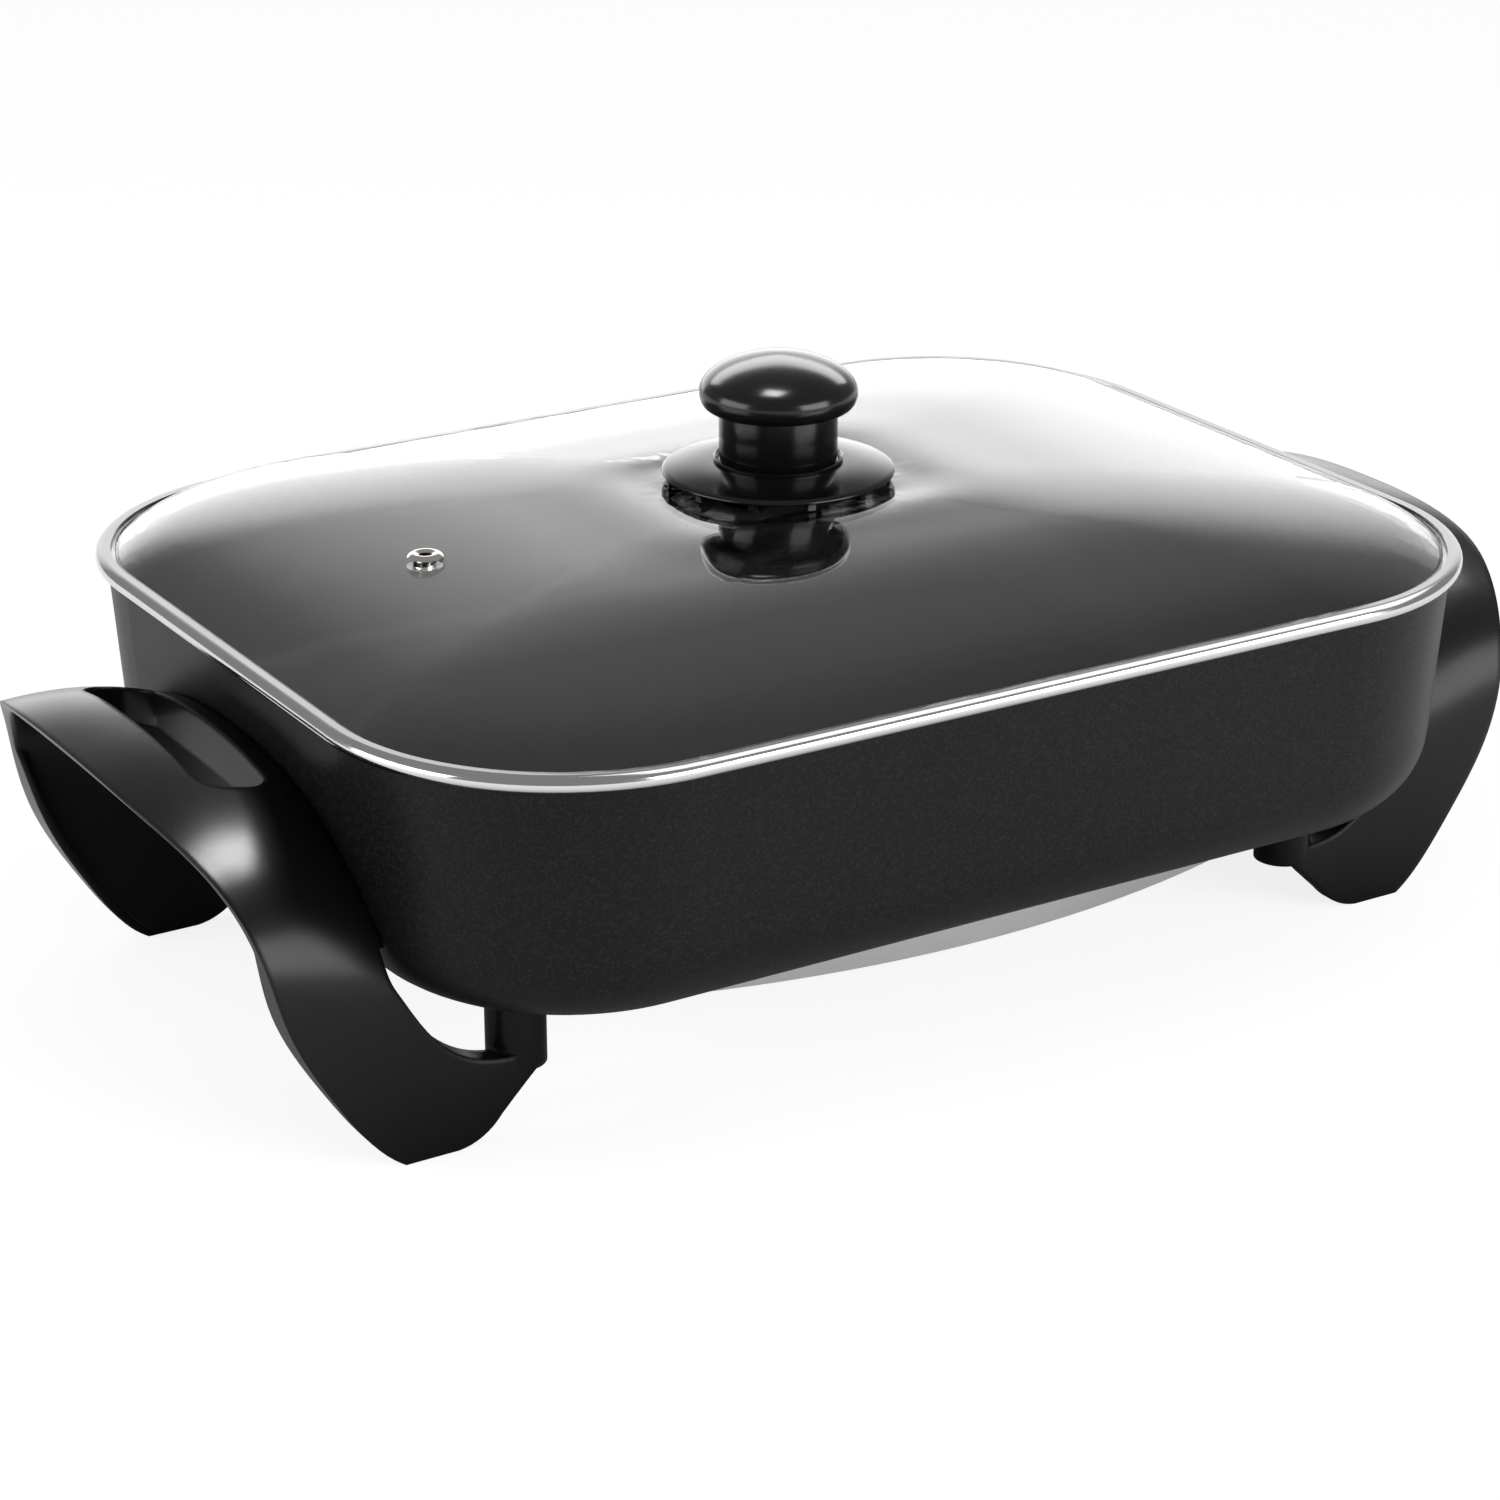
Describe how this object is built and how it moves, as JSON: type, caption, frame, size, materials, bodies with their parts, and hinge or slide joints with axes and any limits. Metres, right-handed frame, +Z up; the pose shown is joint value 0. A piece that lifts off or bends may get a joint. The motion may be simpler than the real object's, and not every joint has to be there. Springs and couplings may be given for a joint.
{
  "type": "electric skillet",
  "caption": "Rectangular electric skillet: coated pan on moulded handle-legs, domed lift-off glass lid with knob, socket for a plug-in heat control.",
  "frame": {"origin": "on the table under the middle of the pan", "axes": "+X along the pan towards the control socket, +Y across the pan, +Z up"},
  "size_m": [0.5074, 0.3154, 0.2004],
  "materials": {
    "coated_pan": "satin black non-stick coating with a fine speckle",
    "phenolic": "semi-gloss black moulded phenolic",
    "knob_phenolic": "glossy black moulded phenolic",
    "stainless": "polished stainless steel",
    "bare_aluminium": "bare cast aluminium, lightly machined",
    "sheath_steel": "dull heat-tinted steel sheath",
    "zinc_steel": "bright zinc-plated steel",
    "pin_metal": "nickel-plated pins",
    "ceramic": "off-white glazed ceramic",
    "clear_glass": "clear tempered glass, polished",
    "silicone": "translucent grey silicone",
    "brass": "turned brass"
  },
  "bodies": {
    "base": {"pan_body": "coated_pan", "left_handle": "phenolic", "right_handle": "phenolic", "handle_screws": "zinc_steel", "handle_washers": "zinc_steel", "heat_plate": "bare_aluminium", "heating_element": "sheath_steel", "thermostat_well": "bare_aluminium", "terminal_pins": "pin_metal", "pin_insulators": "ceramic", "terminal_guard": "zinc_steel", "guard_screws": "zinc_steel"},
    "lid": {"lid_glass": "clear_glass", "lid_band": "stainless", "vent_eyelet": "pin_metal", "knob": "knob_phenolic", "knob_skirt": "knob_phenolic", "knob_insert": "brass", "upper_gasket": "silicone", "lower_gasket": "silicone", "knob_washer": "stainless", "knob_screw": "zinc_steel"}
  },
  "joints": [
    {"name": "lid_lift", "type": "slide", "parent": "base", "child": "lid", "axis": [0, 0, 1], "range_m": [0, 0.15]}
  ]
}
